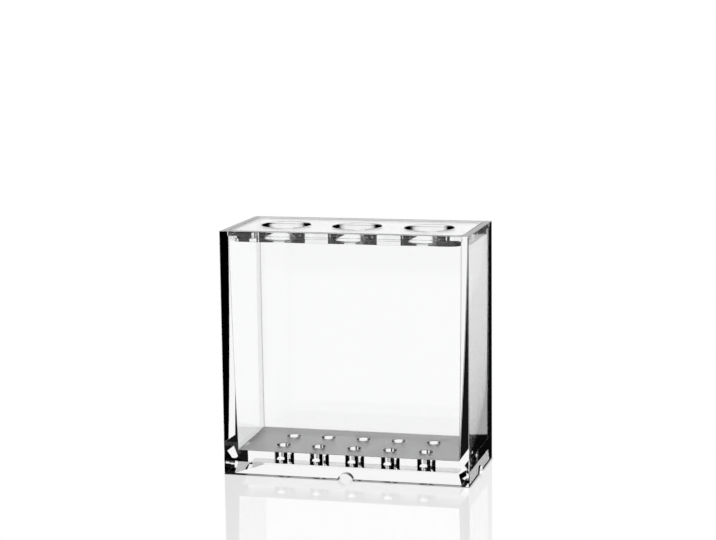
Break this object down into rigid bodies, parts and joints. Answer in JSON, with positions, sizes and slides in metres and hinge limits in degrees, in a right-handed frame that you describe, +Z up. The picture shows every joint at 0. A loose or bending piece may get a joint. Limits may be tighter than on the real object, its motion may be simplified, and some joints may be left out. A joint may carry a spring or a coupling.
{
  "type": "toothbrush holder",
  "caption": "Clear rectangular toothbrush holder: an open-topped drafted case with a drained floor on a notched skirt, and a loose drop-in lid with round holes.",
  "frame": {"origin": "centre of the case's footprint, on the table", "axes": "+X to the right along the width, +Y to the back, so the front is towards -Y, and +Z up out of the lid"},
  "size_m": [0.116, 0.056, 0.114],
  "materials": {
    "clear_case": "polished water-clear plastic outside and on the walls, satin on top of the floor",
    "clear_lid": "polished water-clear plastic"
  },
  "bodies": {
    "case_body": {"case": "clear_case"},
    "lid_body": {"lid": "clear_lid"}
  },
  "joints": [
    {"name": "lid_lift", "type": "slide", "parent": "case_body", "child": "lid_body", "axis": [0, 0, 1], "range_m": [0, 0.04]}
  ]
}
